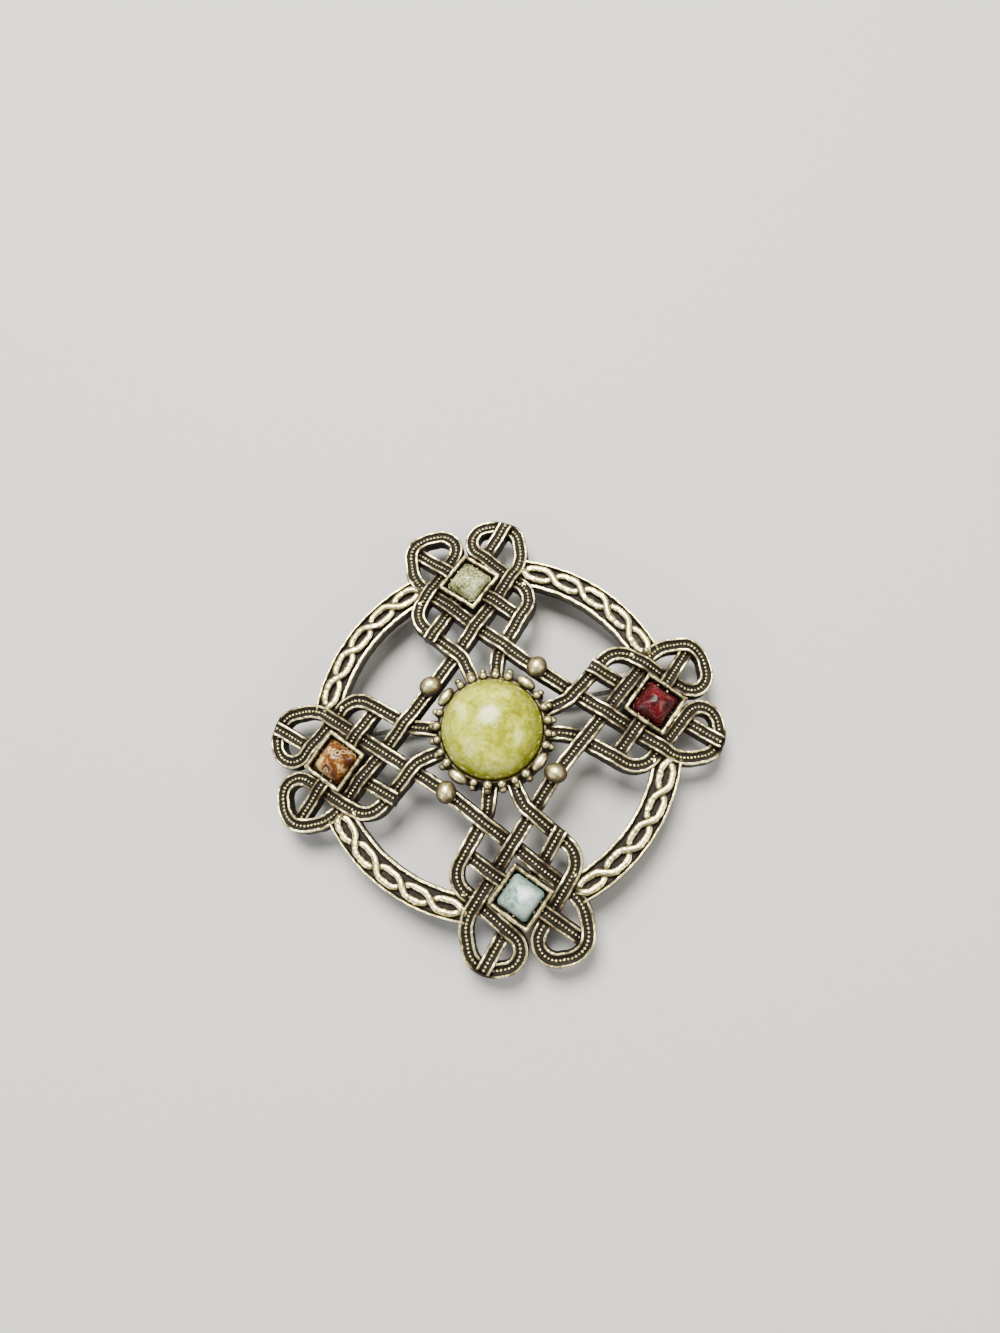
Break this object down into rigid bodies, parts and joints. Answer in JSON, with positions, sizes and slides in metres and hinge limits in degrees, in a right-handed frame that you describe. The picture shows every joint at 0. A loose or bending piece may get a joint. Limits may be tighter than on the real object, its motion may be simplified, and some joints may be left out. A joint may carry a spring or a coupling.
{
  "type": "brooch",
  "caption": "Cross-shaped Celtic-style costume brooch: openwork knot arms on a ring, domed centre stone, square corner stones, hinged pin with roller catch.",
  "frame": {"origin": "centre of the overall box, at the underside of the pin fittings that the brooch lies on", "axes": "+Z out of the stones, +Y towards the upper arm, +X towards the hinge end of the pin"},
  "size_m": [0.0496, 0.0496, 0.0108],
  "materials": {
    "knot_silver": "antiqued silver plate on white metal, worn bright on the rails and dark brown-black in the grooves",
    "ring_silver": "antiqued silver plate, bright rails and braid over a dark floor",
    "setting_silver": "antiqued silver plate, rim worn bright",
    "hub_silver": "antiqued silver plate, dark",
    "bead_silver": "polished silver plate",
    "green_glass": "opaque marbled yellow-green glass, glossy",
    "grey_glass": "opaque speckled grey-green glass, glossy",
    "red_glass": "deep red glass with pink and white veins, glossy",
    "milky_glass": "milky pale blue-white glass, glossy",
    "amber_glass": "orange-brown glass with cream rings, glossy",
    "fitting_metal": "dull cast white metal",
    "pin_steel": "drawn steel wire, satin",
    "roller_metal": "plated, satin"
  },
  "bodies": {
    "frame": {"arm_top": "knot_silver", "arm_right": "knot_silver", "arm_bottom": "knot_silver", "arm_left": "knot_silver", "ring_top_right": "ring_silver", "ring_bottom_right": "ring_silver", "ring_bottom_left": "ring_silver", "ring_top_left": "ring_silver", "setting_top": "setting_silver", "setting_right": "setting_silver", "setting_bottom": "setting_silver", "setting_left": "setting_silver", "hub_cup": "hub_silver", "rim_grains": "bead_silver", "rim_long_beads": "bead_silver", "stud_top_right": "bead_silver", "stud_bottom_right": "bead_silver", "stud_bottom_left": "bead_silver", "stud_top_left": "bead_silver", "stone_centre": "green_glass", "stone_grey": "grey_glass", "stone_red": "red_glass", "stone_milky": "milky_glass", "stone_amber": "amber_glass", "hinge_bracket": "fitting_metal", "hinge_rivet": "pin_steel", "catch_barrel": "fitting_metal"},
    "pin": {"pin_stem": "pin_steel"},
    "roller": {"catch_roller": "roller_metal"}
  },
  "joints": [
    {"name": "pin_hinge", "type": "hinge", "parent": "frame", "child": "pin", "pos_m": [0.0147, 0.003, 0.0014], "axis": [0, -1, 0], "range_deg": [0, 110]},
    {"name": "roller_turn", "type": "hinge", "parent": "frame", "child": "roller", "pos_m": [-0.0146, 0.003, 0.0014], "axis": [1, 0, 0], "range_deg": [0, 90]}
  ]
}
